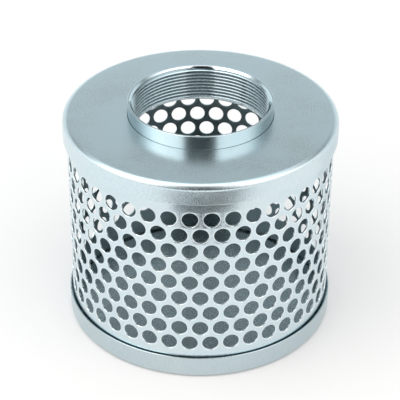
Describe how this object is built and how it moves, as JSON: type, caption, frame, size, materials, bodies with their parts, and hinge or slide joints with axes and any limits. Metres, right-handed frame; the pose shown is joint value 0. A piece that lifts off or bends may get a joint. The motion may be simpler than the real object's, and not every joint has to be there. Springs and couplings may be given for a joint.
{
  "type": "suction strainer",
  "caption": "Round sheet-metal suction strainer: perforated cylindrical wall, smooth closed bottom cap and a flat top plate with a short internally threaded neck.",
  "frame": {"origin": "centre of the base, on the plane the strainer stands on", "axes": "+Z along the strainer's axis, up towards the neck; -Y is the front, +X its right side"},
  "size_m": [0.1734, 0.1734, 0.1518],
  "materials": {
    "perforated_sheet": "bright zinc-plated steel sheet, satin, cool blue cast",
    "pressed_caps": "bright zinc-plated pressed steel, satin, cool blue cast",
    "turned_neck": "turned and zinc-plated steel, bright, fine tool marks",
    "weld_metal": "zinc-plated weld bead, slightly duller than the sheet"
  },
  "bodies": {
    "root": {"perforated_shell": "perforated_sheet", "shell_seam_weld": "weld_metal", "bottom_cap": "pressed_caps", "top_cap": "pressed_caps", "threaded_neck": "turned_neck", "neck_weld": "weld_metal", "top_cap_spot_welds": "weld_metal", "bottom_cap_spot_welds": "weld_metal"}
  },
  "joints": []
}
